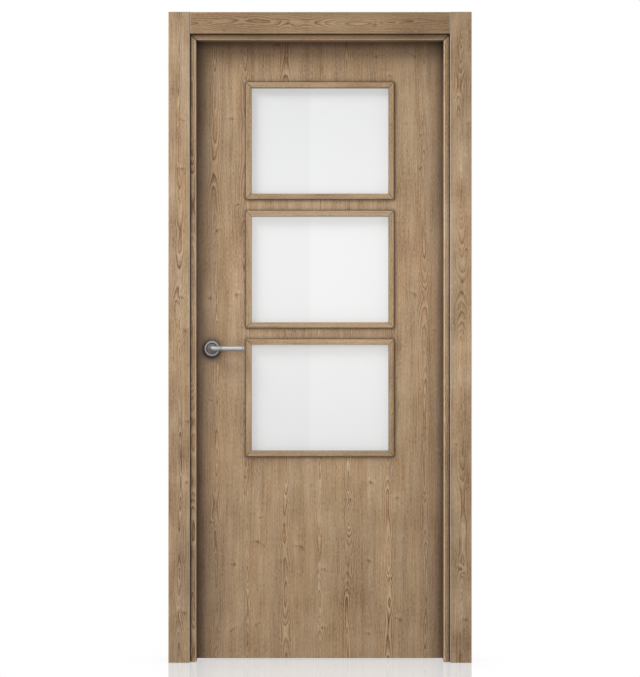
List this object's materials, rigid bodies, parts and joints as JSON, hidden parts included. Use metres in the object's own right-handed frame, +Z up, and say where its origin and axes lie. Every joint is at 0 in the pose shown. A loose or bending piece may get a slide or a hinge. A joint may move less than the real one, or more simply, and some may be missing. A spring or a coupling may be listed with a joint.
{
  "type": "prehung interior door",
  "caption": "Prehung interior door in knotty-oak foil: rebated frame with architraves, a hinged leaf with stacked satin-glass lights in mitred beads, and a lever handle on round roses.",
  "frame": {"origin": "on the wall side of the hinge jamb, at floor level, in the middle of the wall's thickness", "axes": "+X from the latch side to the hinge side, out of the hinge jamb into the wall; +Y through the wall to the side that the leaf opens to; +Z up"},
  "size_m": [0.991, 0.155, 2.116],
  "materials": {
    "oak_upright": "satin oak-grain foil, grain upright",
    "oak_level": "satin oak-grain foil, grain level",
    "satin_glass": "white satin-etched glass",
    "satin_nickel": "satin nickel plate",
    "seal_rubber": "matt brown rubber"
  },
  "bodies": {
    "frame": {"hinge_jamb": "oak_upright", "latch_jamb": "oak_upright", "head_jamb": "oak_level", "seal_hinge": "seal_rubber", "seal_latch": "seal_rubber", "seal_head": "seal_rubber", "front_architrave_hinge": "oak_upright", "front_architrave_latch": "oak_upright", "front_architrave_head": "oak_level", "back_architrave_hinge": "oak_upright", "back_architrave_latch": "oak_upright", "back_architrave_head": "oak_level", "strike_plate": "satin_nickel", "hinge_upper_frame_half": "satin_nickel", "hinge_middle_frame_half": "satin_nickel", "hinge_lower_frame_half": "satin_nickel"},
    "leaf": {"leaf_front_skin": "oak_upright", "leaf_back_skin": "oak_upright", "hinge_stile": "oak_upright", "latch_stile": "oak_upright", "top_rail": "oak_upright", "upper_rail": "oak_upright", "lower_rail": "oak_upright", "bottom_panel": "oak_upright", "front_beads_top": "oak_upright", "back_beads_top": "oak_upright", "glass_top": "satin_glass", "front_beads_middle": "oak_upright", "back_beads_middle": "oak_upright", "glass_middle": "satin_glass", "front_beads_bottom": "oak_upright", "back_beads_bottom": "oak_upright", "glass_bottom": "satin_glass", "rose_front": "satin_nickel", "rose_back": "satin_nickel", "lock_faceplate": "satin_nickel", "latch_bolt": "satin_nickel", "hinge_upper_leaf_half": "satin_nickel", "hinge_middle_leaf_half": "satin_nickel", "hinge_lower_leaf_half": "satin_nickel"},
    "handle": {"lever_front": "satin_nickel", "lever_back": "satin_nickel", "spindle": "satin_nickel"}
  },
  "joints": [
    {"name": "door_swing", "type": "hinge", "parent": "frame", "child": "leaf", "pos_m": [-0.0175, 0.0535, 0], "axis": [0, 0, -1], "range_deg": [0, 170]},
    {"name": "handle_turn", "type": "hinge", "parent": "leaf", "child": "handle", "pos_m": [-0.787, 0.0275, 1.02], "axis": [0, 1, 0], "range_deg": [0, 45], "stiffness_Nm_per_rad": 1.5, "springref_deg": -28.65}
  ]
}
